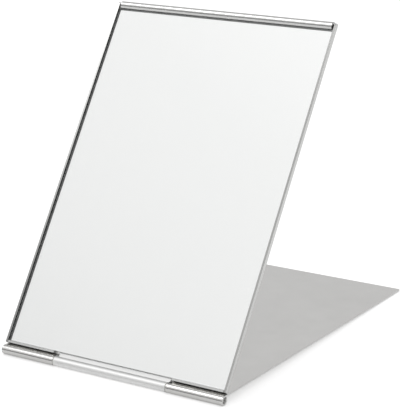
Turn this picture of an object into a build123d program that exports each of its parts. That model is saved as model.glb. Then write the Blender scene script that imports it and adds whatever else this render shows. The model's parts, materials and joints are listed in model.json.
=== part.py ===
from build123d import *

import os
from math import asin, atan, cos, degrees, hypot, radians, sin, sqrt, tan

os.makedirs("parts", exist_ok=True)

# Folding make-up mirror. A bent sheet tray holds the glass and leans back over a flat plate,
# which covers the glass when the mirror is folded shut. Tray and plate are aluminium sheet,
# curled along the hinge edge into knuckles that share one steel pin. Millimetres, +Z up, the
# glass faces -Y, and the origin is on the table under the middle of the open mirror.

# Overall size and the angle that the tray opens to, measured from the plate
width = 100.0
panel_length = 150.0
open_angle = 57.2
sheet = 0.8

# Hinge
knuckle_radius = 1.9
middle_knuckle = 51.0
seam_gap = 0.2
pin_clearance = 0.04
pin_recess = 0.6
pin_chamfer = 0.15
washer_thickness = 0.3
washer_end_clearance = 0.03
washer_bore_clearance = 0.05
washer_inset = 0.1
stop_clearance = 0.04
notch_margin = 0.3
relief_width = 1.5

# Glass and what holds it
glass_thickness = 1.15
coating_thickness = 0.05
glass_edge_clearance = 0.06
glass_top_gap = 0.15
glass_seam = 0.15
tape_width = 14.0
tape_side_margin = 8.0
tape_end_margin = 6.0

# Tray
bend_inside = 0.8
rim_above_glass = 0.45
rim_top_drop = 0.6
rim_corner_radius = 0.8
lid_clearance = 0.1
corner_slit = 0.2

# Curl along the top of the tray
bead_radius = 1.7
bead_end_gap = 0.8
bead_seam_gap = 0.2

# Free edge of the plate, with the strip that is dressed flat where it bears on the table
plate_end_gap = 0.7
plate_corner_radius = 0.8
foot_width = 0.6

# Sizes of the hinge that follow
knuckle_bore = knuckle_radius - sheet
pin_radius = knuckle_bore - pin_clearance
knuckle_gap = washer_thickness + 2 * washer_end_clearance
middle_half = middle_knuckle / 2 - knuckle_gap / 2
notch_half = middle_knuckle / 2 + knuckle_gap / 2
knuckle_end = degrees(asin((knuckle_bore - seam_gap) / knuckle_radius))
notch_depth = knuckle_radius / tan(radians(open_angle / 2)) + notch_margin

# Heights of the tray square to the glass, from the hinge axis. The tray's back runs straight
# into the middle knuckle. Shut, the rims lie just under the plate, so the glass is counted
# down from there, and the tape fills the rest.
tray_back = -knuckle_radius
tray_floor = tray_back + sheet
rim_front = knuckle_bore - lid_clearance
glass_front = rim_front - rim_above_glass
glass_back = glass_front - glass_thickness
coating_back = glass_back - coating_thickness
tape_thickness = coating_back - tray_floor
tray_depth = rim_front - tray_back

# The sill lies where the bend below it comes to rest on the plate of the open mirror
bend_outside = bend_inside + sheet
bend_height = tray_back + bend_outside
bend_distance = (
    knuckle_radius + stop_clearance + bend_outside - bend_height * cos(radians(open_angle))
) / sin(radians(open_angle))
sill_outside = bend_distance - bend_outside
sill_inside = sill_outside + sheet

# The curl starts tangent to the tray's back, and its end stops short of the tray's floor
bead_distance = panel_length - bead_radius
bead_height = tray_back + bead_radius
bead_half = width / 2 - sheet - bead_end_gap
bead_end = degrees(asin((bead_radius - sheet - bead_seam_gap) / bead_radius))
bead_root = 2 * bead_radius
rim_top = panel_length - rim_top_drop

# The glass keeps clear of the bends round the tray's floor
bend_over_tape = max(0.0, bend_inside - tape_thickness)
bend_reach = bend_inside - sqrt(bend_inside**2 - bend_over_tape**2)
glass_half = width / 2 - sheet - bend_reach - glass_edge_clearance
glass_bottom = sill_inside + bend_reach + glass_edge_clearance
glass_top = bead_distance - bead_radius - glass_top_gap
tape_bottom = sill_inside + tape_end_margin
tape_top = bead_distance - tape_end_margin
tape_centre = glass_half - tape_side_margin - tape_width / 2

# Shut, the plate's free edge stops short of the curl
bead_over_plate = max(0.0, knuckle_bore - bead_height)
bead_flank = sqrt(max(0.0, bead_radius**2 - bead_over_plate**2))
plate_length = bead_distance - bead_flank - plate_end_gap

# The plate slopes from the top of the hinge to the strip that bears on the table
foot_distance = plate_length - foot_width
plate_slope = degrees(
    asin(knuckle_radius / hypot(foot_distance, knuckle_bore)) + atan(knuckle_bore / foot_distance)
)
plate_reach = plate_length * cos(radians(plate_slope)) + knuckle_radius * sin(radians(plate_slope))
panel_angle = open_angle - plate_slope
axis_point = Vector(0, -(plate_reach - knuckle_radius) / 2, knuckle_radius)

# Profiles lie in planes across the hinge. Their X runs away from the hinge along the sheet,
# their Y is square to the sheet, and their Z is the hinge axis.
plate_plane = Plane(
    origin=axis_point,
    x_dir=(0, cos(radians(plate_slope)), -sin(radians(plate_slope))),
    z_dir=(1, 0, 0),
)
tray_plane = Plane(
    origin=axis_point,
    x_dir=(0, cos(radians(panel_angle)), sin(radians(panel_angle))),
    z_dir=(1, 0, 0),
)
tab_plane = Plane(origin=axis_point, x_dir=tray_plane.x_dir, z_dir=-tray_plane.z_dir)
bead_plane = Plane(
    origin=tray_plane.from_local_coords((bead_distance, bead_height, 0)),
    x_dir=-tray_plane.x_dir,
    z_dir=tray_plane.z_dir,
)
along_plate = Axis(axis_point, plate_plane.x_dir)
along_tray = Axis(axis_point, tray_plane.x_dir)
square_to_plate = Axis(axis_point, plate_plane.y_dir)
square_to_tray = Axis(axis_point, tray_plane.y_dir)


def curled_strip(length, radius, end_angle):
    """Outline of a sheet that runs in along X and curls into a tube round the origin."""
    inner = radius - sheet
    outer_arc = CenterArc((0, 0), radius, 90, 270 + end_angle)
    inner_arc = CenterArc((0, 0), inner, 90, 270 + end_angle)
    Line(outer_arc @ 1, inner_arc @ 1)
    Polyline(outer_arc @ 0, (length, radius), (length, inner), inner_arc @ 0)


def tray_block(bottom, top, back, front):
    """Rectangle in the tray's profile, given by its two distances and its two heights."""
    with Locations((bottom, back)):
        Rectangle(top - bottom, front - back, align=(Align.MIN, Align.MIN))


def bent_edges(block):
    """Edges round a block's back face, all but the one along its top."""
    back_edges = block.faces().sort_by(square_to_tray)[0].edges()
    return back_edges - ShapeList([back_edges.sort_by(along_tray)[-1]])


# Plate and its two outer knuckles, with a notch between them for the middle knuckle
with BuildPart() as stand_plate:
    with BuildSketch(plate_plane):
        with BuildLine():
            curled_strip(plate_length, knuckle_radius, knuckle_end)
        make_face()
    extrude(amount=width / 2, both=True)
    with BuildSketch(plate_plane):
        with Locations((-2 * knuckle_radius, 0)):
            Rectangle(
                2 * knuckle_radius + notch_depth,
                4 * knuckle_radius,
                align=(Align.MIN, Align.CENTER),
            )
    extrude(amount=notch_half, both=True, mode=Mode.SUBTRACT)
    far_corners = stand_plate.edges().filter_by(square_to_plate).sort_by(along_plate)[-2:]
    fillet(far_corners, plate_corner_radius)

    # The free edge is dressed flat along the table
    with Locations((0, axis_point.Y + plate_reach, 0)):
        Box(
            width,
            4 * foot_width,
            sheet,
            align=(Align.CENTER, Align.CENTER, Align.MAX),
            mode=Mode.SUBTRACT,
        )

stand_plate.part.label = "stand_plate"
export_step(stand_plate.part, "parts/stand_plate.step")

# Inside of the tray, between the rims and above the sill
with BuildPart() as tray_pocket:
    with BuildSketch(tray_plane):
        tray_block(sill_inside, 2 * panel_length, tray_floor, tray_floor + 2 * tray_depth)
    extrude(amount=width / 2 - sheet, both=True)
    fillet(bent_edges(tray_pocket), bend_inside)

# Tray of bent sheet
with BuildPart() as mirror_holder:
    with BuildSketch(tray_plane):
        tray_block(sill_outside, rim_top, tray_back, rim_front)
    extrude(amount=width / 2, both=True)
    rim_corner = mirror_holder.faces().sort_by(along_tray)[-1].edges().sort_by(square_to_tray)[-1]
    fillet(bent_edges(mirror_holder), bend_outside)
    fillet(rim_corner, rim_corner_radius)
    add(tray_pocket.part, mode=Mode.SUBTRACT)

    # Between the rims the floor runs on into the curl
    with BuildSketch(tray_plane):
        tray_block(bead_distance, 2 * panel_length, tray_back, rim_front)
    extrude(amount=bead_half, both=True, mode=Mode.SUBTRACT)
    with BuildSketch(bead_plane):
        with BuildLine():
            curled_strip(bead_root, bead_radius, bead_end)
        make_face()
    extrude(amount=bead_half, both=True)

    # Between the outer knuckles the back runs on into the middle knuckle, clear of both sills
    with BuildSketch(tray_plane):
        tray_block(sill_outside - bend_outside, bend_distance, tray_back, rim_front)
    extrude(amount=middle_half + relief_width, both=True, mode=Mode.SUBTRACT)
    with BuildSketch(tab_plane):
        with BuildLine():
            curled_strip(bend_distance, knuckle_radius, knuckle_end)
        make_face()
    extrude(amount=middle_half, both=True)

    # The sill stops short of the side rims
    for side in (-1, 1):
        with BuildSketch(tray_plane.offset(side * (width / 2 - sheet - corner_slit / 2))):
            tray_block(sill_outside - bend_outside, sill_inside, bend_height, rim_front)
        extrude(amount=corner_slit / 2, both=True, mode=Mode.SUBTRACT)

mirror_holder.part.label = "mirror_holder"
export_step(mirror_holder.part, "parts/mirror_holder.step")

# Glass with its front edges seamed
with BuildPart() as mirror_glass:
    with BuildSketch(tray_plane):
        tray_block(glass_bottom, glass_top, glass_back, glass_front)
    extrude(amount=glass_half, both=True)
    chamfer(mirror_glass.faces().sort_by(square_to_tray)[-1].edges(), glass_seam)

mirror_glass.part.label = "mirror_glass"
export_step(mirror_glass.part, "parts/mirror_glass.step")

# Silvering and its paint on the back of the glass
with BuildPart() as mirror_coating:
    with BuildSketch(tray_plane):
        tray_block(glass_bottom, glass_top, coating_back, glass_back)
    extrude(amount=glass_half, both=True)

mirror_coating.part.label = "mirror_coating"
export_step(mirror_coating.part, "parts/mirror_coating.step")

# Double-sided tape between the coating and the tray's floor
for step, side in enumerate(("left", "middle", "right"), start=-1):
    with BuildPart() as tape_strip:
        with BuildSketch(tray_plane.offset(step * tape_centre)):
            tray_block(tape_bottom, tape_top, tray_floor, coating_back)
        extrude(amount=tape_width / 2, both=True)
    tape_strip.part.label = f"tape_strip_{side}"
    export_step(tape_strip.part, f"parts/tape_strip_{side}.step")

# Pin through all three knuckles
with BuildPart() as hinge_pin:
    with BuildSketch(tray_plane):
        Circle(pin_radius)
    extrude(amount=width / 2 - pin_recess, both=True)
    chamfer(hinge_pin.edges().filter_by(GeomType.CIRCLE), pin_chamfer)

hinge_pin.part.label = "hinge_pin"
export_step(hinge_pin.part, "parts/hinge_pin.step")

# Washers between the knuckles
for step, side in ((-1, "left"), (1, "right")):
    with BuildPart() as hinge_washer:
        with BuildSketch(tray_plane.offset(step * middle_knuckle / 2)):
            Circle(knuckle_radius - washer_inset)
            Circle(pin_radius + washer_bore_clearance, mode=Mode.SUBTRACT)
        extrude(amount=washer_thickness / 2, both=True)
    hinge_washer.part.label = f"hinge_washer_{side}"
    export_step(hinge_washer.part, f"parts/hinge_washer_{side}.step")

print("hinge axis at", axis_point, "panel at", panel_angle, "plate slopes", plate_slope)
print("sill from", sill_outside, "tray back", tray_back, "tape", tape_thickness)
print("plate length", plate_length, "plate reach", plate_reach, "bead", bead_distance, bead_height)
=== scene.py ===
"""Looks of a folding make-up mirror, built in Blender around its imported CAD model.

Sizes are in millimetres in the classes below and become metres when a mesh is made.
"""

import json
import logging
import math
from dataclasses import dataclass, field
from enum import Enum
from typing import Iterable, Sequence

import bmesh
import bpy
from mathutils import Matrix, Vector

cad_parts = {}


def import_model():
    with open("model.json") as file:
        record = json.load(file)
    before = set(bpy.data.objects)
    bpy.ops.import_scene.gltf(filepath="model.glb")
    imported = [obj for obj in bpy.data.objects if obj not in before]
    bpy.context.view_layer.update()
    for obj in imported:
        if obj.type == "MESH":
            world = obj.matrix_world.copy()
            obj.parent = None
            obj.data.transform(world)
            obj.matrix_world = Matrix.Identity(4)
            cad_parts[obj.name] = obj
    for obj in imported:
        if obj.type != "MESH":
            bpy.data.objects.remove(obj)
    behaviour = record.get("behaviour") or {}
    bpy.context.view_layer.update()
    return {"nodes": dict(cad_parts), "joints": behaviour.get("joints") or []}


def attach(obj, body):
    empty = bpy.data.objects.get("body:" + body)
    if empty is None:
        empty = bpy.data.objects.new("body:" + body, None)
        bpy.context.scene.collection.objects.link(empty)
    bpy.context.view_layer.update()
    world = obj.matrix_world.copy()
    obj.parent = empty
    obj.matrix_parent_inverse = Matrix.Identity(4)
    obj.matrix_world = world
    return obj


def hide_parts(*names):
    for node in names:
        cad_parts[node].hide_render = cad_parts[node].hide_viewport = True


LOG = logging.getLogger("mirror")
MM = 0.001
SHEET_UV = "sheet"
CUT_EDGE = "cut_edge"
GROUND = "ground"
PAINTED_SHADE = "painted"
UP = Vector((0.0, 0.0, 1.0))
OPEN_TILT = 56.02193

RIGHT_ANGLE = math.pi / 2
SHARP_ANGLE = math.radians(38)
TURNED_STEPS = 72
CORNER_STEPS = 8

Colour = tuple[float, float, float]
Profile = list[tuple[float, float]]
SheetPoint = tuple[float, float, float, float, float]


class Body(Enum):
    """The two rigid bodies of the mirror."""

    STAND = "stand"
    MIRROR = "mirror"


# --------------------------------------------------------------------------- node helpers


class Field:
    """A value socket that Python's operators work on; each operation adds a Math node."""

    def __init__(self, graph: "Graph", socket: bpy.types.NodeSocket) -> None:
        """Wraps an output socket of a graph's node."""
        self.graph = graph
        self.socket = socket

    def _math(self, operation: str, *values: "Field | float") -> "Field":
        """One Math node on the given values, in order."""
        inputs = dict(enumerate(values))
        return self.graph.out("ShaderNodeMath", 0, {"operation": operation}, inputs)

    def __add__(self, other: "Field | float") -> "Field":
        """Sum."""
        return self._math("ADD", self, other)

    def __radd__(self, other: float) -> "Field":
        """Sum with a number on the left."""
        return self._math("ADD", other, self)

    def __sub__(self, other: "Field | float") -> "Field":
        """Difference."""
        return self._math("SUBTRACT", self, other)

    def __rsub__(self, other: float) -> "Field":
        """Difference from a number on the left."""
        return self._math("SUBTRACT", other, self)

    def __mul__(self, other: "Field | float") -> "Field":
        """Product."""
        return self._math("MULTIPLY", self, other)

    def __rmul__(self, other: float) -> "Field":
        """Product with a number on the left."""
        return self._math("MULTIPLY", other, self)

    def absolute(self) -> "Field":
        """Absolute value."""
        return self._math("ABSOLUTE", self)

    def sine(self) -> "Field":
        """Sine of an angle in radians."""
        return self._math("SINE", self)

    def cosine(self) -> "Field":
        """Cosine of an angle in radians."""
        return self._math("COSINE", self)

    def root(self) -> "Field":
        """Square root."""
        return self._math("SQRT", self)

    def largest(self, other: "Field | float") -> "Field":
        """The larger of two values."""
        return self._math("MAXIMUM", self, other)

    def step(self, low: float, high: float) -> "Field":
        """Smooth step from 0 at low to 1 at high; high may be the smaller of the two."""
        if high < low:
            return 1.0 - self.step(high, low)
        settings = {"interpolation_type": "SMOOTHSTEP"}
        inputs = {"Value": self, "From Min": low, "From Max": high}
        return self.graph.out("ShaderNodeMapRange", 0, settings, inputs)


class Graph:
    """A node tree with one way to add any node."""

    MIX_COLOUR = {"factor": 0, "a": 6, "b": 7, "result": 2}

    def __init__(self, tree: bpy.types.NodeTree) -> None:
        """Empties the tree and keeps it."""
        self.tree = tree
        tree.nodes.clear()

    def add(self, kind: str, settings: dict | None = None, inputs: dict | None = None) -> bpy.types.Node:
        """Adds a node.

        Args:
            kind: The node's type.
            settings: Properties to set first. "stops" holds a ramp's (place, grey) pairs.
            inputs: Values or Fields for the sockets, by name or index.

        Returns:
            The new node.
        """
        node = self.tree.nodes.new(kind)
        for name, value in (settings or {}).items():
            if name == "stops":
                ramp = node.color_ramp.elements
                while len(ramp) < len(value):
                    ramp.new(0.5)
                for element, (place, grey) in zip(ramp, value):
                    element.position = place
                    element.color = (grey, grey, grey, 1.0)
            else:
                setattr(node, name, value)
        for key, value in (inputs or {}).items():
            if isinstance(value, Field):
                self.tree.links.new(value.socket, node.inputs[key])
            else:
                node.inputs[key].default_value = value
        return node

    def out(
        self,
        kind: str,
        output: str | int,
        settings: dict | None = None,
        inputs: dict | None = None,
    ) -> Field:
        """Adds a node and returns one of its outputs as a Field."""
        return Field(self, self.add(kind, settings, inputs).outputs[output])

    def mix(self, factor: Field | float, first: Field | Colour, second: Field | Colour) -> Field:
        """Colour between two others."""
        at = self.MIX_COLOUR
        colours = [c if isinstance(c, Field) else (*c, 1.0) for c in (first, second)]
        inputs = {at["factor"]: factor, at["a"]: colours[0], at["b"]: colours[1]}
        return self.out("ShaderNodeMix", at["result"], {"data_type": "RGBA"}, inputs)

    def vector(self, x: Field | float, y: Field | float, z: Field | float) -> Field:
        """A vector from three values."""
        return self.out("ShaderNodeCombineXYZ", 0, None, {0: x, 1: y, 2: z})

    def parts(self, vector: Field) -> tuple[Field, Field, Field]:
        """The three values of a vector."""
        node = self.add("ShaderNodeSeparateXYZ", None, {0: vector})
        return Field(self, node.outputs[0]), Field(self, node.outputs[1]), Field(self, node.outputs[2])

    def noise(self, place: Field, scale: float, detail: float = 2.0, roughness: float = 0.5) -> Field:
        """Noise between 0 and 1, around 0.5."""
        inputs = {"Vector": place, "Scale": scale, "Detail": detail, "Roughness": roughness}
        return self.out("ShaderNodeTexNoise", 0, None, inputs)

    def scaled(self, place: Field, scale: Sequence[float]) -> Field:
        """A vector with each part multiplied."""
        return self.out("ShaderNodeVectorMath", 0, {"operation": "MULTIPLY"}, {0: place, 1: tuple(scale)})

    def bump(self, height: Field, strength: float, distance: float) -> Field:
        """Normal bumped by a height."""
        inputs = {"Height": height, "Strength": strength, "Distance": distance}
        return self.out("ShaderNodeBump", 0, None, inputs)

    def attribute(self, name: str) -> Field:
        """A value stored on the mesh."""
        return self.out("ShaderNodeAttribute", "Fac", {"attribute_name": name})

    def object_place(self) -> Field:
        """Place on the object, in metres."""
        return self.out("ShaderNodeTexCoord", "Object")

    def sheet_place(self) -> Field:
        """Place on the flat sheet before it was bent, in metres."""
        return self.out("ShaderNodeUVMap", 0, {"uv_map": SHEET_UV})


class Finish:
    """What a surface is made of. A finish gives the values of one Principled shader."""

    name: str

    def material(self) -> bpy.types.Material:
        """The finish as a material."""
        material = bpy.data.materials.new(self.name)
        material.use_nodes = True
        graph = Graph(material.node_tree)
        graph.add("ShaderNodeOutputMaterial", None, {"Surface": self._shader(graph)})
        return material

    def _shader(self, graph: Graph) -> Field:
        """The shader, which a finish of two layers replaces."""
        return graph.out("ShaderNodeBsdfPrincipled", 0, None, self._shade(graph))

    def _shade(self, graph: Graph) -> dict:
        """Adds the nodes and returns the shader's socket values by name."""
        raise NotImplementedError


def shaded(colour: Colour, level: float) -> Colour:
    """A colour made darker."""
    return tuple(c * level for c in colour)


# --------------------------------------------------------------------------- finishes


@dataclass(frozen=True)
class SatinAluminium(Finish):
    """Anodised sheet: rolling grain along its length, fine matt tooth, brighter rubbed edges.

    The edges that rub are given as lines on the flat sheet, across it or along it, in millimetres.
    The cut faces are sheared metal, except along the two rims, where their colour stands in for
    light and shade, graded from the rims' low to their high end. A narrow band at one end of the
    sheet can be coloured near white to stand in for light, with a matt roll at its tip.
    """

    name: str
    colour: Colour = (0.80, 0.80, 0.79)
    rubbed: Colour = (0.90, 0.90, 0.895)
    sheared: Colour = (0.58, 0.585, 0.58)
    # Painted shading: along each rim the cut faces take a grey that grades from the rim's low end to its
    # high end, standing in for the light and shade on the rims' edges.
    rim_start: float = 50.2
    rim_length: float = 150.0
    left_rim_painted_shading: tuple[Colour, Colour] = ((0.26, 0.26, 0.255), (0.78, 0.78, 0.77))
    right_rim_painted_shading: tuple[Colour, Colour] = ((0.40, 0.40, 0.39), (0.24, 0.24, 0.235))
    roughness: float = 0.30
    side_lines: tuple[float, ...] = ()
    end_lines: tuple[float, ...] = ()
    rub_width: float = 0.35
    rub_strength: float = 0.5
    cut_strength: float = 0.9
    grain_scale: tuple[float, float, float] = (5200.0, 130.0, 1.0)
    tooth_scale: float = 7000.0
    cloud_scale: float = 32.0
    handled_scale: float = 110.0
    cloud_shade: float = 0.955
    bump_strength: float = 0.12
    bump_depth: float = 0.00003
    soft_border: float = 0.4
    # Painted light: a near-white band at one end of the sheet (on the tray, its tab and middle knuckle),
    # standing in for the light that falls on them.
    painted_light_end: float = -100.0
    painted_light_half: float = 25.7
    painted_light_colour: Colour = (0.98, 0.98, 0.975)
    painted_light_roughness: float = 0.25
    painted_light_roll_end: float = 1.5
    painted_light_roll_roughness: float = 0.54

    def _shade(self, graph: Graph) -> dict:
        """Adds the nodes and returns the shader's socket values by name."""
        flat = graph.sheet_place()
        across, along, _ = graph.parts(flat)
        grain = graph.noise(graph.scaled(flat, self.grain_scale), 1.0, 3.0, 0.6)
        tooth = graph.noise(graph.object_place(), self.tooth_scale, 2.0, 0.6)
        cloud = graph.noise(graph.object_place(), self.cloud_scale, 3.0, 0.55)
        handled = graph.noise(graph.object_place(), self.handled_scale, 4.0, 0.6)
        lines = [across.absolute() - line * MM for line in self.side_lines]
        lines += [along - line * MM for line in self.end_lines]
        cut = graph.attribute(CUT_EDGE)
        rub: Field | float = 0.0
        for distance in lines:
            near = distance.absolute().step(self.rub_width * MM, 0.0)
            rub = (near * handled.step(0.36, 0.62)).largest(rub)
        tone = cloud.step(0.3, 0.7) * 0.5 + grain * 0.5
        darker = shaded(self.colour, self.cloud_shade)
        colour = graph.mix(tone, darker, self.colour)
        colour = graph.mix(rub * self.rub_strength, colour, self.rubbed)
        soft = self.soft_border
        # Painted shading on the rims' cut faces, graded along each rim from one grey to another.
        at_painted_rim = across.absolute().step(self.rim_start * MM, (self.rim_start + soft) * MM)
        rise = along.step(0.0, self.rim_length * MM)
        left, right = (graph.mix(rise, low, high) for low, high in (self.left_rim_painted_shading, self.right_rim_painted_shading))
        rim = graph.mix(across.step(-MM, MM), left, right)
        colour = graph.mix(cut * self.cut_strength, colour, graph.mix(at_painted_rim, self.sheared, rim))
        rough = self.roughness + (grain - 0.5) * 0.12 + (handled - 0.5) * 0.10 - rub * 0.05 + cut * 0.04
        # Painted light: the band at the sheet's end is mixed to a near white, with its own roughness.
        bright = along.step((self.painted_light_end + soft / 2) * MM, (self.painted_light_end - soft / 2) * MM)
        bright = bright * across.absolute().step((self.painted_light_half + soft) * MM, self.painted_light_half * MM)
        colour = graph.mix(bright, colour, self.painted_light_colour)
        rolled = along.step((self.painted_light_roll_end + soft) * MM, (self.painted_light_roll_end - soft) * MM)
        rough = rough + bright * (self.painted_light_roughness - self.roughness)
        rough = rough + bright * rolled * (self.painted_light_roll_roughness - self.painted_light_roughness)
        height = grain * 0.6 + tooth * 0.4
        return {
            "Base Color": colour,
            "Metallic": 1.0,
            "Roughness": rough,
            "Normal": graph.bump(height, self.bump_strength, self.bump_depth),
        }


@dataclass(frozen=True)
class ClearGlass(Finish):
    """Float glass with ground seams: clear and faintly green, matt where it was ground."""

    name: str = "float_glass"
    clear: Colour = (0.998, 1.0, 0.999)
    ground: Colour = (0.80, 0.83, 0.82)
    # Painted shade: the glass's side ends are coloured near black, standing in for the shade along the
    # glass's sides.
    painted: Colour = (0.035, 0.045, 0.042)
    index: float = 1.52
    grit_scale: float = 9000.0
    smear_scale: float = 26.0
    smear_roughness: float = 0.006
    ground_share: float = 0.25
    painted_shade_share: float = 0.65

    def _shader(self, graph: Graph) -> Field:
        """Clear glass, with the ground edges mixed in and the side ends coloured near black to stand in for
        the shade along them.
        """
        ground, painted = graph.attribute(GROUND), graph.attribute(PAINTED_SHADE)
        place = graph.object_place()
        grit = graph.noise(place, self.grit_scale, 2.0, 0.6)
        smear = graph.noise(place, self.smear_scale, 4.0, 0.6).step(0.55, 0.8)
        normal = graph.bump(grit * ground, 0.25, 0.00002)
        clear = {
            "Base Color": (*self.clear, 1.0),
            "Roughness": smear * self.smear_roughness,
            "IOR": self.index,
            "Transmission Weight": 1.0,
        }
        edge = {
            "Base Color": graph.mix(painted, self.ground, self.painted),
            "Roughness": 0.45 + grit * 0.25,
            "Normal": normal,
        }
        first, second = (graph.out("ShaderNodeBsdfPrincipled", 0, None, inputs) for inputs in (clear, edge))
        # The painted shade goes on the side ends only; the other ground faces stay pale.
        share = ground * (self.ground_share + painted * self.painted_shade_share)
        return graph.out("ShaderNodeMixShader", 0, None, {0: share, 1: first, 2: second})


@dataclass(frozen=True)
class Silvering(Finish):
    """Silver on the back of the glass, with its grey protective paint behind and at the edge."""

    name: str = "silvering"
    silver: Colour = (0.945, 0.95, 0.945)
    paint: Colour = (0.62, 0.63, 0.63)
    middle: float = -0.625
    border: float = 0.01
    brush_scale: tuple[float, float, float] = (300.0, 1800.0, 1800.0)
    paint_roughness: float = 0.6
    tilt: float = 0.0
    axis: Vector = field(default_factory=Vector)

    def _shade(self, graph: Graph) -> dict:
        """Adds the nodes and returns the shader's socket values by name."""
        place = graph.object_place()
        _, y, z = graph.parts(place)
        height = (z - self.axis.z) * math.cos(self.tilt) - (y - self.axis.y) * math.sin(self.tilt)
        front = height.step((self.middle - self.border) * MM, (self.middle + self.border) * MM)
        brushed = graph.noise(graph.scaled(place, self.brush_scale), 1.0, 3.0, 0.6)
        paint = graph.mix(brushed, shaded(self.paint, 0.85), self.paint)
        return {
            "Base Color": graph.mix(front, paint, self.silver),
            "Metallic": front,
            "Roughness": (1.0 - front) * self.paint_roughness,
            "Normal": graph.bump(brushed * (1.0 - front), 0.3, 0.00003),
        }


@dataclass(frozen=True)
class DrawnSteel(Finish):
    """Cold drawn wire: fine draw lines along it and turning rings on its cut ends."""

    name: str = "drawn_steel"
    colour: Colour = (0.60, 0.60, 0.59)
    roughness: float = 0.24
    ring_pitch: float = 0.1496
    draw_scale: tuple[float, float, float] = (160.0, 9000.0, 9000.0)
    axis: Vector = field(default_factory=Vector)

    def _shade(self, graph: Graph) -> dict:
        """Adds the nodes and returns the shader's socket values by name."""
        place = graph.object_place()
        _, y, z = graph.parts(place)
        y, z = y - self.axis.y, z - self.axis.z
        radius = (y * y + z * z).root()
        rings = (radius * (2 * math.pi / (self.ring_pitch * MM))).sine() * 0.5 + 0.5
        draw = graph.noise(graph.scaled(place, self.draw_scale), 1.0, 2.0, 0.6)
        colour = graph.mix(draw, shaded(self.colour, 0.82), self.colour)
        return {
            "Base Color": colour,
            "Metallic": 1.0,
            "Roughness": self.roughness + (draw - 0.5) * 0.16,
            "Normal": graph.bump(rings * 0.3 + draw * 0.7, 0.3, 0.00001),
        }


@dataclass(frozen=True)
class SoftMaterial(Finish):
    """A matt non-metal with a fine grain: the hinge's nylon and the foam tape."""

    name: str
    colour: Colour
    roughness: float
    grain_scale: float
    grain_depth: float

    def _shade(self, graph: Graph) -> dict:
        """Adds the nodes and returns the shader's socket values by name."""
        place = graph.object_place()
        grain = graph.noise(place, self.grain_scale, 4.0, 0.65)
        cloud = graph.noise(place, self.grain_scale * 0.06, 2.0, 0.5)
        colour = graph.mix(cloud * 0.6 + grain * 0.4, shaded(self.colour, 0.84), self.colour)
        return {
            "Base Color": colour,
            "Roughness": self.roughness + (grain - 0.5) * 0.2,
            "Normal": graph.bump(grain, 0.4, self.grain_depth),
        }


@dataclass(frozen=True)
class Paper(Finish):
    """Plain paper, lifted to white where the camera sees it and a little in reflections."""

    name: str = "paper"
    colour: Colour = (0.88, 0.88, 0.88)
    fibre_scale: float = 900.0
    lift: float = 0.50
    lift_mirrored: float = 0.12

    def _shader(self, graph: Graph) -> Field:
        """Matt paper with its lift added."""
        fibre = graph.noise(graph.object_place(), self.fibre_scale, 3.0, 0.6)
        colour = graph.mix(fibre, shaded(self.colour, 0.985), self.colour)
        paper = graph.out("ShaderNodeBsdfDiffuse", 0, None, {"Color": colour})
        path = graph.add("ShaderNodeLightPath")
        seen = Field(graph, path.outputs["Is Camera Ray"])
        mirrored = Field(graph, path.outputs["Is Glossy Ray"])
        level = seen * self.lift + mirrored * self.lift_mirrored
        white = (1.0, 1.0, 1.0, 1.0)
        lift = graph.out("ShaderNodeEmission", 0, None, {"Color": white, "Strength": level})
        return graph.out("ShaderNodeAddShader", 0, None, {0: paper, 1: lift})


# --------------------------------------------------------------------------- shapes


@dataclass(frozen=True)
class SheetPlane:
    """A plane square to the hinge: X across, a distance along the sheet and a height over it."""

    axis: Vector
    tilt: float

    def place(self, across: float, along: float, height: float) -> Vector:
        """A point of the plane in metres."""
        c, s = math.cos(self.tilt), math.sin(self.tilt)
        y = self.axis.y + (along * c - height * s) * MM
        z = self.axis.z + (along * s + height * c) * MM
        return Vector((self.axis.x + across * MM, y, z))


@dataclass(frozen=True)
class Curl:
    """A strip of sheet rolled round a line along X, given by its middle surface."""

    left: float
    right: float
    centre_along: float
    centre_height: float
    radius: float
    start: float
    sweep: float
    flat_start: float
    flat_sign: float
    steps: int = 60


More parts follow.
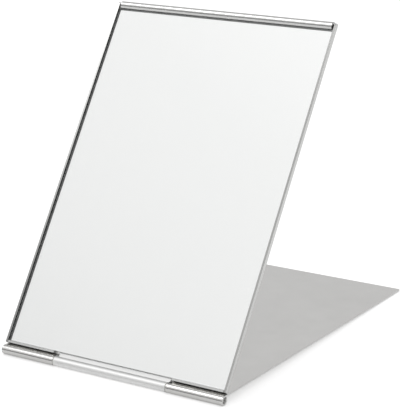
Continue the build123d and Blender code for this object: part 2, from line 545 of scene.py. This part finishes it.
class CurlTree:
    """Geometry Nodes tree that rolls one strip of sheet; the same tree makes every curl."""

    STRIP = ("Left", "Right", "Centre Along", "Centre Height", "Radius", "Start", "Sweep")
    NUMBERS = (*STRIP, "Flat Start", "Flat Sign", "Tilt", "Axis Y", "Axis Z")

    def __init__(self, material: bpy.types.Material) -> None:
        """Builds the tree, which ends in the given material."""
        self.tree = bpy.data.node_groups.new("rolled_strip", "GeometryNodeTree")
        face = self.tree.interface
        for name in self.NUMBERS:
            face.new_socket(name=name, in_out="INPUT", socket_type="NodeSocketFloat")
        face.new_socket(name="Steps", in_out="INPUT", socket_type="NodeSocketInt")
        face.new_socket(name="Geometry", in_out="OUTPUT", socket_type="NodeSocketGeometry")
        graph = Graph(self.tree)
        given = graph.add("NodeGroupInput")
        value = {name: Field(graph, given.outputs[name]) for name in self.NUMBERS}
        rows = Field(graph, given.outputs["Steps"]) + 1.0
        sizes = {"Size X": 1.0, "Size Y": 1.0, "Vertices X": 2, "Vertices Y": rows}
        grid = graph.add("GeometryNodeMeshGrid", None, sizes)
        px, py, _ = graph.parts(graph.out("GeometryNodeInputPosition", 0))
        across = value["Left"] + (px + 0.5) * (value["Right"] - value["Left"])
        turn = (py + 0.5) * value["Sweep"]
        angle = value["Start"] + turn
        along = value["Centre Along"] + value["Radius"] * angle.cosine()
        height = value["Centre Height"] + value["Radius"] * angle.sine()
        c, s = value["Tilt"].cosine(), value["Tilt"].sine()
        y = value["Axis Y"] + along * c - height * s
        z = value["Axis Z"] + along * s + height * c
        run = value["Flat Start"] + value["Flat Sign"] * value["Radius"] * turn.absolute()
        stored = graph.out(
            "GeometryNodeStoreNamedAttribute",
            0,
            {"data_type": "FLOAT2", "domain": "CORNER"},
            {
                "Geometry": Field(graph, grid.outputs["Mesh"]),
                "Name": SHEET_UV,
                "Value": graph.vector(across, run, 0.0),
            },
        )
        place = graph.vector(across, y, z)
        moved = graph.out("GeometryNodeSetPosition", 0, None, {"Geometry": stored, "Position": place})
        real = graph.out("GeometryNodeRealizeInstances", 0, None, {0: moved})
        done = graph.out("GeometryNodeSetMaterial", 0, None, {"Geometry": real, "Material": material})
        graph.add("NodeGroupOutput", None, {"Geometry": done})

    def mesh(self, curl: Curl, plane: SheetPlane) -> bpy.types.Mesh:
        """The rolled strip as a plain mesh.

        Args:
            curl: The strip's sizes in millimetres and radians.
            plane: The plane of the sheet that it belongs to.

        Returns:
            A mesh in metres, with its place on the flat sheet as a UV map.
        """
        holder = bpy.data.objects.new("curl", bpy.data.meshes.new("curl"))
        bpy.context.scene.collection.objects.link(holder)
        modifier = holder.modifiers.new("curl", "NODES")
        modifier.node_group = self.tree
        values = {
            "Left": curl.left * MM,
            "Right": curl.right * MM,
            "Centre Along": curl.centre_along * MM,
            "Centre Height": curl.centre_height * MM,
            "Radius": curl.radius * MM,
            "Start": curl.start,
            "Sweep": curl.sweep,
            "Flat Start": curl.flat_start * MM,
            "Flat Sign": curl.flat_sign,
            "Tilt": plane.tilt,
            "Axis Y": plane.axis.y,
            "Axis Z": plane.axis.z,
            "Steps": curl.steps,
        }
        for socket in self.tree.interface.items_tree:
            if socket.in_out == "INPUT":
                modifier[socket.identifier] = values[socket.name]
        return take_mesh(holder)


def take_mesh(holder: bpy.types.Object) -> bpy.types.Mesh:
    """The evaluated mesh of an object, which is then removed."""
    bpy.context.view_layer.update()
    graph = bpy.context.evaluated_depsgraph_get()
    mesh = bpy.data.meshes.new_from_object(holder.evaluated_get(graph))
    old = holder.data
    bpy.data.objects.remove(holder)
    if old.users == 0:
        bpy.data.meshes.remove(old)
    return mesh


class BentSheet:
    """The middle surface of a bent sheet, gathered face by face and then given its thickness."""

    MERGE = 0.002 * MM
    CUT_ANGLE = math.radians(40)
    EDGE_STEPS = 3

    def __init__(self, plane: SheetPlane, thickness: float, edge_break: float) -> None:
        """Starts an empty sheet.

        Args:
            plane: The plane that its heights are square to.
            thickness: The sheet's thickness in millimetres.
            edge_break: The rounding of its cut edges in millimetres.
        """
        self.plane = plane
        self.thickness = thickness
        self.edge_break = edge_break
        self.mesh = bmesh.new()
        self.uv = self.mesh.loops.layers.uv.new(SHEET_UV)

    def face(self, corners: Iterable[tuple[Vector, tuple[float, float]]]) -> None:
        """Adds a face from (place in metres, place on the flat sheet in metres) pairs."""
        corners = list(corners)
        made = self.mesh.faces.new([self.mesh.verts.new(place) for place, _ in corners])
        for loop, (_, flat) in zip(made.loops, corners):
            loop[self.uv].uv = flat

    def outline(self, points: Iterable[SheetPoint]) -> None:
        """Adds a face from (across, along, height, flat across, flat along) in millimetres."""
        self.face((self.plane.place(x, a, h), (u * MM, v * MM)) for x, a, h, u, v in points)

    def patch(self, rows: Sequence[Sequence[SheetPoint]]) -> None:
        """Adds the faces between rows of points like those of outline()."""
        for low, high in zip(rows, rows[1:]):
            for i in range(len(low) - 1):
                self.outline((low[i], low[i + 1], high[i + 1], high[i]))

    def take(self, mesh: bpy.types.Mesh) -> None:
        """Adds the faces of a mesh that has the flat sheet's UV map, and removes the mesh."""
        flat = mesh.uv_layers[SHEET_UV].data
        for polygon in mesh.polygons:
            places = [mesh.vertices[i].co for i in polygon.vertices]
            self.face(zip(places, [flat[i].uv for i in polygon.loop_indices]))
        bpy.data.meshes.remove(mesh)

    def finish(self, name: str, material: bpy.types.Material, outside: Vector) -> bpy.types.Object:
        """Closes the sheet.

        Args:
            name: The piece's name.
            material: Its finish.
            outside: A direction that the sheet's middle surface faces.

        Returns:
            The piece, with its thickness, rounded cut edges and normals.
        """
        bmesh.ops.remove_doubles(self.mesh, verts=self.mesh.verts, dist=self.MERGE)
        bmesh.ops.recalc_face_normals(self.mesh, faces=self.mesh.faces)
        largest = max(self.mesh.faces, key=lambda f: f.calc_area())
        if largest.normal.dot(outside) < 0:
            bmesh.ops.reverse_faces(self.mesh, faces=self.mesh.faces)
        mesh = bpy.data.meshes.new(name)
        self.mesh.to_mesh(mesh)
        self.mesh.free()
        holder = bpy.data.objects.new(name, mesh)
        bpy.context.scene.collection.objects.link(holder)
        for _ in range(2):
            mesh.materials.append(material)
        solid = holder.modifiers.new("thickness", "SOLIDIFY")
        solid.thickness = self.thickness * MM
        solid.offset = 0.0
        solid.use_even_offset = True
        solid.use_quality_normals = True
        solid.material_offset_rim = 1
        return self._break_edges(name, take_mesh(holder))

    def _break_edges(self, name: str, mesh: bpy.types.Mesh) -> bpy.types.Object:
        """Rounds the cut edges, marks them, and smooths the rest."""
        work = bmesh.new()
        work.from_mesh(mesh)
        bmesh.ops.remove_doubles(work, verts=work.verts, dist=self.MERGE)
        cut = [
            edge
            for edge in work.edges
            if len(edge.link_faces) == 2
            and any(f.material_index == 1 for f in edge.link_faces)
            and edge.calc_face_angle(0.0) > self.CUT_ANGLE
        ]
        bmesh.ops.bevel(
            work,
            geom=cut,
            offset=self.edge_break * MM,
            segments=self.EDGE_STEPS,
            profile=0.5,
            affect="EDGES",
            clamp_overlap=True,
        )
        bmesh.ops.recalc_face_normals(work, faces=work.faces)
        layer = work.loops.layers.float.new(CUT_EDGE)
        for face in work.faces:
            for loop in face.loops:
                loop[layer] = float(face.material_index)
            face.material_index = 0
            face.smooth = True
        work.to_mesh(mesh)
        work.free()
        while len(mesh.materials) > 1:
            mesh.materials.pop()
        return weighted(name, mesh)


def weighted(name: str, mesh: bpy.types.Mesh) -> bpy.types.Object:
    """A finished piece whose smooth shading is weighted to its large faces."""
    mesh.set_sharp_from_angle(angle=SHARP_ANGLE)
    holder = bpy.data.objects.new(name, mesh)
    bpy.context.scene.collection.objects.link(holder)
    modifier = holder.modifiers.new("normals", "WEIGHTED_NORMAL")
    modifier.keep_sharp = True
    modifier.weight = 80
    done = take_mesh(holder)
    done.name = name
    return placed(name, done)


def placed(name: str, mesh: bpy.types.Mesh) -> bpy.types.Object:
    """Puts a finished mesh in the scene."""
    piece = bpy.data.objects.new(name, mesh)
    bpy.context.scene.collection.objects.link(piece)
    return piece


def turned(name: str, axis: Vector, profile: Profile, material: bpy.types.Material) -> bpy.types.Object:
    """A piece turned about the hinge axis.

    Args:
        name: The piece's name.
        axis: A point of the axis, in metres.
        profile: (along X, radius) pairs in millimetres. It starts and ends on the axis, or else it
            closes on itself.
        material: Its finish.

    Returns:
        The piece.
    """
    work = bmesh.new()
    rings = []
    for across, radius in profile:
        if radius == 0.0:
            rings.append([work.verts.new((axis.x + across * MM, axis.y, axis.z))])
            continue
        ring = []
        for turn in (2 * math.pi * i / TURNED_STEPS for i in range(TURNED_STEPS)):
            y, z = radius * MM * math.cos(turn), radius * MM * math.sin(turn)
            ring.append(work.verts.new((axis.x + across * MM, axis.y + y, axis.z + z)))
        rings.append(ring)
    if profile[0][1] > 0.0:
        rings.append(rings[0])
    for first, second in zip(rings, rings[1:]):
        for i in range(TURNED_STEPS):
            j = (i + 1) % TURNED_STEPS
            near = [first[k % len(first)] for k in (i, j)]
            far = [second[k % len(second)] for k in (j, i)]
            work.faces.new(list(dict.fromkeys(near + far)))
    bmesh.ops.recalc_face_normals(work, faces=work.faces)
    for face in work.faces:
        face.smooth = True
    mesh = bpy.data.meshes.new(name)
    work.to_mesh(mesh)
    work.free()
    mesh.materials.append(material)
    return weighted(name, mesh)


def rounded_corner(radius: float) -> Profile:
    """Points of a quarter circle about the origin, from the first axis to the second."""
    angles = (RIGHT_ANGLE * i / CORNER_STEPS for i in range(CORNER_STEPS + 1))
    return [(radius * math.cos(a), radius * math.sin(a)) for a in angles]


# --------------------------------------------------------------------------- sub-assemblies


@dataclass(frozen=True)
class HingeSizes:
    """Sizes that both halves of the hinge share, in millimetres."""

    width: float = 100.0
    sheet: float = 0.8
    knuckle_radius: float = 1.9
    knuckle_end: float = math.asin(0.9 / 1.9)
    middle_half: float = 25.32
    notch_half: float = 25.68
    edge_break: float = 0.1

    @property
    def middle_radius(self) -> float:
        """Radius of the middle of a knuckle's sheet."""
        return self.knuckle_radius - self.sheet / 2

    @property
    def knuckle_sweep(self) -> float:
        """Angle that a knuckle's sheet turns through."""
        return 1.5 * math.pi + self.knuckle_end


@dataclass
class Stand:
    """The plate on the table with its two rolled knuckles, the pin and the two washers."""

    axis: Vector
    hinge: HingeSizes = field(default_factory=HingeSizes)
    tilt: float = math.radians(-1.17807)
    plate_length: float = 146.5046
    corner_radius: float = 0.8
    notch_depth: float = 3.785
    pin_half: float = 49.4
    pin_radius: float = 1.06
    pin_chamfer: float = 0.15
    washer_outer: float = 1.8
    washer_inner: float = 1.11
    washer_half: float = 0.15
    washer_middle: float = 25.5
    washer_chamfer: float = 0.04
    dish: float = 0.04
    knuckle_support: float = 0.25
    notch_support: float = 0.4

    def build(self) -> list[bpy.types.Object]:
        """Makes the stand's pieces and hides the nodes that they stand for."""
        return [self.plate(), self.pin(), self.washer("left", -1.0), self.washer("right", 1.0)]

    def plate(self) -> bpy.types.Object:
        """The plate and its knuckles, from one sheet."""
        hinge = self.hinge
        half = hinge.width / 2
        plane = SheetPlane(self.axis, self.tilt)
        height = hinge.middle_radius
        finish = SatinAluminium(
            "satin_plate",
            colour=(0.80, 0.793, 0.78),
            roughness=0.22,
            sheared=(0.80, 0.80, 0.79),
            side_lines=(half,),
            end_lines=(self.plate_length,),
        ).material()
        sheet = BentSheet(plane, hinge.sheet, hinge.edge_break)
        tree = CurlTree(finish)
        for left, right in ((-half, -hinge.notch_half), (hinge.notch_half, half)):
            curl = Curl(left, right, 0.0, 0.0, height, RIGHT_ANGLE, hinge.knuckle_sweep, 0.0, -1.0)
            sheet.take(tree.mesh(curl, plane))
            rows = (0.0, self.knuckle_support, self.notch_depth)
            sheet.patch([[(x, a, height, x, a) for x in (left, right)] for a in rows])
        columns = (-half, -hinge.notch_half, hinge.notch_half, half)
        far = self.plate_length - 2 * self.corner_radius
        rows = (self.notch_depth, self.notch_depth + self.notch_support, far)
        sheet.patch([[(x, a, height, x, a) for x in columns] for a in rows])
        cx, ca = half - self.corner_radius, self.plate_length - self.corner_radius
        edge = [(cx + dx, ca + da) for dx, da in rounded_corner(self.corner_radius)]
        border = [(x, far) for x in columns] + edge + [(-x, a) for x, a in reversed(edge)]
        sheet.outline((x, a, height, x, a) for x, a in border)
        piece = sheet.finish("plate", finish, UP)
        return settle(piece, Body.STAND, "stand_plate")

    def pin(self) -> bpy.types.Object:
        """The steel pin, with a small chamfer and a slightly dished cut face at each end."""
        end, r, c = self.pin_half, self.pin_radius, self.pin_chamfer
        half_profile = [
            (end - self.dish, 0.0),
            (end - 0.75 * self.dish, 0.35 * r),
            (end, r - c - 0.1),
            (end, r - c),
            (end - c, r),
            (end - 2 * c, r),
        ]
        profile = [(-x, q) for x, q in half_profile] + [(x, q) for x, q in reversed(half_profile)]
        piece = turned("pin", self.axis, profile, DrawnSteel(axis=self.axis).material())
        return settle(piece, Body.STAND, "hinge_pin")

    def washer(self, side: str, sign: float) -> bpy.types.Object:
        """One washer between two knuckles."""
        x, h = sign * self.washer_middle, self.washer_half
        inner, outer, c = self.washer_inner, self.washer_outer, self.washer_chamfer
        profile = [(x - h, inner + c), (x - h, outer - c), (x - h + c, outer), (x + h - c, outer)]
        profile += [(x + h, outer - c), (x + h, inner + c), (x + h - c, inner), (x - h + c, inner)]
        nylon = SoftMaterial(f"nylon_{side}", (0.74, 0.74, 0.70), 0.42, 3500.0, 0.00001)
        piece = turned(f"washer_{side}", self.axis, profile, nylon.material())
        return settle(piece, Body.STAND, f"hinge_washer_{side}")


@dataclass
class Tray:
    """The bent tray: side rims, two sills, the tab with the middle knuckle, and the curled top."""

    axis: Vector
    tilt: float
    hinge: HingeSizes = field(default_factory=HingeSizes)
    rim_front: float = 1.0
    rim_top: float = 149.4
    rim_corner: float = 0.8
    sill_outside: float = 2.8048
    bend_outside: float = 1.6
    relief: float = 1.5
    slit: float = 0.2
    bead_centre: float = 148.3
    bead_radius: float = 1.7
    bead_end: float = math.asin(0.7 / 1.7)
    bead_half: float = 48.4
    bend_steps: int = 12
    support: float = 0.4
    knuckle_support: float = 0.25

    def __post_init__(self) -> None:
        """Works out the sizes of the sheet's middle surface."""
        hinge = self.hinge
        self.half_sheet = hinge.sheet / 2
        self.bend = self.bend_outside - self.half_sheet
        self.floor = -hinge.knuckle_radius + self.half_sheet
        self.foot = self.floor + self.bend
        self.wall_side = hinge.width / 2 - self.half_sheet
        self.wall_sill = self.sill_outside + self.half_sheet
        self.bend_end = self.wall_sill + self.bend
        self.base = self.wall_side - self.bend
        self.arc_length = self.bend * RIGHT_ANGLE
        self.wall_height = self.rim_front - self.foot
        self.sill_start = hinge.middle_half + self.relief
        self.sill_finish = self.wall_side - self.half_sheet - self.slit
        self.first_row = self.bend_end + self.support
        self.last_row = self.bead_centre - self.support

    def build(self) -> list[bpy.types.Object]:
        """Makes the tray and hides the node that it stands for."""
        finish = SatinAluminium(
            "satin_tray",
            colour=(0.82, 0.82, 0.81),
            roughness=0.26,
            # Painted light: the tab and the middle knuckle below the sills are coloured near white.
            painted_light_end=self.bend_end,
            side_lines=(self.base + self.arc_length + self.wall_height,),
            end_lines=(self.bend_end - self.arc_length - self.wall_height,),
        ).material()
        plane = SheetPlane(self.axis, self.tilt)
        sheet = BentSheet(plane, self.hinge.sheet, self.hinge.edge_break)
        for sign in (-1.0, 1.0):
            self._rim(sheet, sign)
            self._sill(sheet, sign)
        self._floor(sheet)
        tree = CurlTree(finish)
        for curl in (self._knuckle(), self._bead()):
            sheet.take(tree.mesh(curl, plane))
        front = Vector((0.0, -math.sin(self.tilt), math.cos(self.tilt)))
        piece = sheet.finish("tray", finish, front)
        return [settle(piece, Body.MIRROR, "mirror_holder")]

    def _section(self) -> list[tuple[float, float, float]]:
        """The bend as (inward offset, height, length of sheet outward of the floor's edge)."""
        turns = [RIGHT_ANGLE * i / self.bend_steps for i in range(self.bend_steps + 1)]
        bend, foot = self.bend, self.foot
        length = self.arc_length
        return [(bend - bend * math.cos(t), foot - bend * math.sin(t), length - bend * t) for t in turns]

    def _rim(self, sheet: BentSheet, sign: float) -> None:
        """Adds one side rim: its bend, its wall, and the rounded corner at its top."""
        along = (self.first_row, self.last_row, self.bead_centre, self.rim_top)
        rows = []
        for inset, height, out in self._section():
            x, u = sign * (self.wall_side - inset), sign * (self.base + out)
            rows.append([(x, a, height, u, a) for a in (self.wall_sill + inset, *along)])
        sheet.patch(rows)
        x = sign * self.wall_side

        def flat(height: float) -> float:
            """Place across the flat sheet of a height on the wall."""
            return sign * (self.base + self.arc_length + height - self.foot)

        along = (self.sill_outside, self.wall_sill, *along[:3])
        sheet.patch([[(x, a, h, flat(h), a) for a in along] for h in (self.foot, self.rim_front)])
        ca, ch = self.rim_top - self.rim_corner, self.rim_front - self.rim_corner
        border = [(self.bead_centre, self.foot), (self.rim_top, self.foot)]
        border += [(ca + da, ch + dh) for da, dh in rounded_corner(self.rim_corner)]
        border.append((self.bead_centre, self.rim_front))
        sheet.outline((x, a, h, flat(h), a) for a, h in border)

    def _sill(self, sheet: BentSheet, sign: float) -> None:
        """Adds one sill: its bend, mitred with the rim's, and its wall under the glass."""
        rows = []
        for inset, height, out in self._section():
            columns = (self.sill_start, self.sill_finish - inset, self.wall_side - inset)
            a, v = self.wall_sill + inset, self.bend_end - out
            rows.append([(sign * x, a, height, sign * x, v) for x in columns])
        sheet.patch(rows)
        rows = []
        for height in (self.foot, self.rim_front):
            v = self.bend_end - self.arc_length - (height - self.foot)
            columns = (self.sill_start, self.sill_finish)
            rows.append([(sign * x, self.wall_sill, height, sign * x, v) for x in columns])
        sheet.patch(rows)

    def _floor(self, sheet: BentSheet) -> None:
        """Adds the floor between the bends, and the tab down to the hinge."""
        floor, half = self.floor, self.hinge.middle_half
        columns = [self.bead_half, self.sill_finish - self.bend, self.sill_start, half]
        columns = [-x for x in columns] + columns[::-1]
        rows = (self.bend_end, self.first_row, self.last_row)
        sheet.patch([[(x, a, floor, x, a) for x in columns] for a in rows])
        border = [(x, self.last_row) for x in columns]
        border += [(x, self.bead_centre) for x in (self.bead_half, -self.bead_half)]
        sheet.outline((x, a, floor, x, a) for x, a in border)
        rows = (self.bend_end, self.knuckle_support, 0.0)
        sheet.patch([[(x, a, floor, x, a) for x in (-half, half)] for a in rows])

    def _knuckle(self) -> Curl:
        """The middle knuckle, rolled from the tab's end."""
        hinge = self.hinge
        half, radius = hinge.middle_half, hinge.middle_radius
        return Curl(-half, half, 0.0, 0.0, radius, -RIGHT_ANGLE, -hinge.knuckle_sweep, 0.0, -1.0)

    def _bead(self) -> Curl:
        """The curl along the tray's top."""
        half, radius = self.bead_half, self.bead_radius - self.half_sheet
        centre, sweep = self.bead_centre, 3 * RIGHT_ANGLE + self.bead_end
        return Curl(-half, half, centre, self.floor + radius, radius, -RIGHT_ANGLE, sweep, centre, 1.0)


@dataclass
class MirrorGlass:
    """The glass with its ground seams, over the CAD's silvering and tape strips."""

    axis: Vector
    tilt: float
    half: float = 49.0594
    bottom: float = 3.7454
    top: float = 146.45
    front: float = 0.55
    back: float = -0.592
    seam: float = 0.15
    arris: float = 0.06
    coating_middle: float = -0.625

    def build(self, nodes: dict[str, bpy.types.Object]) -> list[bpy.types.Object]:
        """Makes the glass and dresses the nodes behind it.

        Args:
            nodes: The CAD's nodes.

        Returns:
            The pieces made or dressed.
        """
        silver = Silvering(middle=self.coating_middle, tilt=self.tilt, axis=self.axis).material()
        tape = SoftMaterial("foam_tape", (0.82, 0.82, 0.78), 0.8, 2600.0, 0.00005).material()
        dressed = [nodes["mirror_coating"]]
        dress(nodes["mirror_coating"], silver)
        for side in ("left", "middle", "right"):
            dress(nodes[f"tape_strip_{side}"], tape)
            dressed.append(nodes[f"tape_strip_{side}"])
        return [self.glass(), *dressed]

    def glass(self) -> bpy.types.Object:
        """The glass, a slab with ground side faces and seams."""
        plane = SheetPlane(self.axis, self.tilt)
        work = bmesh.new()
        for x in (-self.half, self.half):
            for a in (self.bottom, self.top):
                for h in (self.back, self.front):
                    work.verts.new(plane.place(x, a, h))
        bmesh.ops.convex_hull(work, input=work.verts)
        bmesh.ops.dissolve_limit(work, angle_limit=math.radians(1), verts=work.verts, edges=work.edges)
        normal = Vector((0.0, -math.sin(self.tilt), math.cos(self.tilt)))
        for face in work.faces:
            face.material_index = 0 if abs(face.normal.dot(normal)) > 0.9 else 1
        for height, offset in ((self.front, self.seam), (self.back, self.arris)):
            rim = []
            for edge in work.edges:
                levels = [(v.co - self.axis).dot(normal) / MM for v in edge.verts]
                if all(abs(level - height) < 0.01 for level in levels):
                    rim.append(edge)
            bmesh.ops.bevel(
                work, geom=rim, offset=offset * MM, segments=2, profile=0.5, affect="EDGES", material=1
            )
        bmesh.ops.recalc_face_normals(work, faces=work.faces)
        ground, painted = (work.loops.layers.float.new(name) for name in (GROUND, PAINTED_SHADE))
        for face in work.faces:
            # The side faces get the painted shade of the glass's ends.
            at_side = abs(face.normal.x) > 0.3
            for loop in face.loops:
                loop[ground] = float(face.material_index)
                loop[painted] = float(face.material_index and at_side)
            face.material_index = 0
            face.smooth = False
        mesh = bpy.data.meshes.new("glass")
        work.to_mesh(mesh)
        work.free()
        mesh.materials.append(ClearGlass().material())
        return settle(placed("glass", mesh), Body.MIRROR, "mirror_glass")


def settle(piece: bpy.types.Object, body: Body, node: str) -> bpy.types.Object:
    """Makes a piece ride on its body and stand for its CAD node."""
    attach(piece, body.value)
    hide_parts(node)
    return piece


def dress(node: bpy.types.Object, material: bpy.types.Material) -> None:
    """Gives a CAD node its finish."""
    node.data.materials.clear()
    node.data.materials.append(material)


# --------------------------------------------------------------------------- studio and camera


@dataclass(frozen=True)
class Viewpoint:
    """The camera, recovered from the object's straight edges in the photograph.

    The offset is the hinge's middle in the camera's own axes, right, down and forward, in
    millimetres. The focal length is in pixels of a frame 409 pixels high.
    """

    yaw: float = 31.991
    pitch: float = 16.248
    roll: float = -0.327
    offset: tuple[float, float, float] = (-33.651, 63.427, 625.165)
    focal: float = 1670.03
    frame: float = 409.0
    sensor: float = 36.0

    def build(self, axis: Vector) -> bpy.types.Object:
        """Makes the camera and the scene's use of it."""
        yaw, pitch, roll = (math.radians(a) for a in (self.yaw, self.pitch, self.roll))
        level = Vector((-math.sin(yaw), math.cos(yaw), 0.0))
        across = Vector((math.cos(yaw), math.sin(yaw), 0.0))
        forward = math.cos(pitch) * level - math.sin(pitch) * UP
        above = math.sin(pitch) * level + math.cos(pitch) * UP
        right = math.cos(roll) * across + math.sin(roll) * above
        up = math.cos(roll) * above - math.sin(roll) * across
        x, y, z = (c * MM for c in self.offset)
        place = axis - (x * right - y * up + z * forward)
        data = bpy.data.cameras.new("viewpoint")
        data.sensor_width = self.sensor
        data.lens = self.sensor * self.focal / self.frame
        data.clip_start, data.clip_end = 0.01, 50.0
        camera = bpy.data.objects.new("viewpoint", data)
        turn = Matrix((right, up, -forward)).transposed().to_4x4()
        camera.matrix_world = Matrix.Translation(place) @ turn
        bpy.context.scene.collection.objects.link(camera)
        bpy.context.scene.camera = camera
        return camera


@dataclass(frozen=True)
class Studio:
    """A plain pale floor under a soft overhead sky, with one large lamp."""

    floor_size: float = 3.0
    lamp_power: float = 1.7
    lamp_size: float = 0.35
    lamp_place: tuple[float, float, float] = (-0.752, -0.528, 1.312)
    sky_gain: float = 1.15
    sky_right: float = 0.70
    sky_front: float = 0.50
    sky_back: float = 0.92

    # (sine of the height over the horizon, grey) towards the front and towards the back
    LOW_FRONT = ((0.0, 0.09), (0.16, 0.12), (0.30, 0.36), (0.42, 0.58))
    FRONT = (*LOW_FRONT, (0.54, 0.73), (0.60, 0.78), (0.69, 0.83), (0.76, 0.90))
    BACK = ((0.0, 0.26), (0.24, 0.57), (0.34, 0.65), (0.50, 0.40), (0.78, 0.38), (1.0, 0.7))

    def build(self) -> None:
        """Makes the floor, the world and the lamp."""
        self._floor()
        self._world()
        self._lamp()
        bpy.context.scene.view_settings.view_transform = "Standard"

    def _floor(self) -> None:
        """A wide floor that the camera sees as white and that keeps the object's shadow."""
        half = self.floor_size / 2
        mesh = bpy.data.meshes.new("floor")
        corners = [(-half, -half, 0), (half, -half, 0), (half, half, 0), (-half, half, 0)]
        mesh.from_pydata(corners, [], [(0, 1, 2, 3)])
        mesh.materials.append(Paper().material())
        placed("floor", mesh)

    def _world(self) -> None:
        """A sky that is white to the camera and grades from a dim front horizon to a bright top."""
        world = bpy.data.worlds.new("studio")
        bpy.context.scene.world = world
        world.use_nodes = True
        graph = Graph(world.node_tree)
        x, y, z = graph.parts(graph.out("ShaderNodeTexCoord", "Generated"))
        up = z.largest(0.0)
        front = graph.out("ShaderNodeValToRGB", 0, {"stops": self.FRONT}, {0: up})
        back = graph.out("ShaderNodeValToRGB", 0, {"stops": self.BACK}, {0: up})
        aside = graph.mix(x.step(-0.1, 0.45), (1.0, 1.0, 1.0), (self.sky_right,) * 3)
        front = graph.out("ShaderNodeVectorMath", 0, {"operation": "MULTIPLY"}, {0: front, 1: aside})
        lit = graph.scaled(graph.mix(y.step(-0.25, 0.30), front, back), (self.sky_gain,) * 3)
        soft = graph.mix(y.step(-0.8, 0.8), (self.sky_front,) * 3, (self.sky_back,) * 3)
        path = graph.add("ShaderNodeLightPath")
        seen = Field(graph, path.outputs["Is Camera Ray"])
        diffuse = Field(graph, path.outputs["Is Diffuse Ray"])
        level = graph.mix(diffuse, lit, soft)
        level = graph.mix(seen, level, (1.0, 1.0, 1.0))
        sky = graph.out("ShaderNodeBackground", 0, None, {"Color": level, "Strength": 1.0})
        graph.add("ShaderNodeOutputWorld", None, {"Surface": sky})

    def _lamp(self) -> None:
        """A large soft lamp high up on the left."""
        data = bpy.data.lights.new("key", "AREA")
        data.shape = "DISK"
        data.size = self.lamp_size
        data.energy = self.lamp_power
        lamp = bpy.data.objects.new("key", data)
        place = Vector(self.lamp_place)
        lamp.location = place
        lamp.rotation_euler = (-place).to_track_quat("-Z", "Y").to_euler()
        bpy.context.scene.collection.objects.link(lamp)


def main() -> None:
    """Builds the mirror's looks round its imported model."""
    logging.basicConfig(level=logging.INFO, format="%(name)s: %(message)s")
    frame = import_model()
    axis = Vector(frame["joints"][0]["pos_m"])
    tilt = math.radians(OPEN_TILT)
    Viewpoint().build(axis)
    Studio().build()
    pieces = Stand(axis).build()
    pieces += Tray(axis, tilt).build()
    pieces += MirrorGlass(axis, tilt).build(frame["nodes"])
    for piece in pieces:
        LOG.info("%s: %d faces", piece.name, len(piece.data.polygons))


if __name__ == "__main__":
    main()
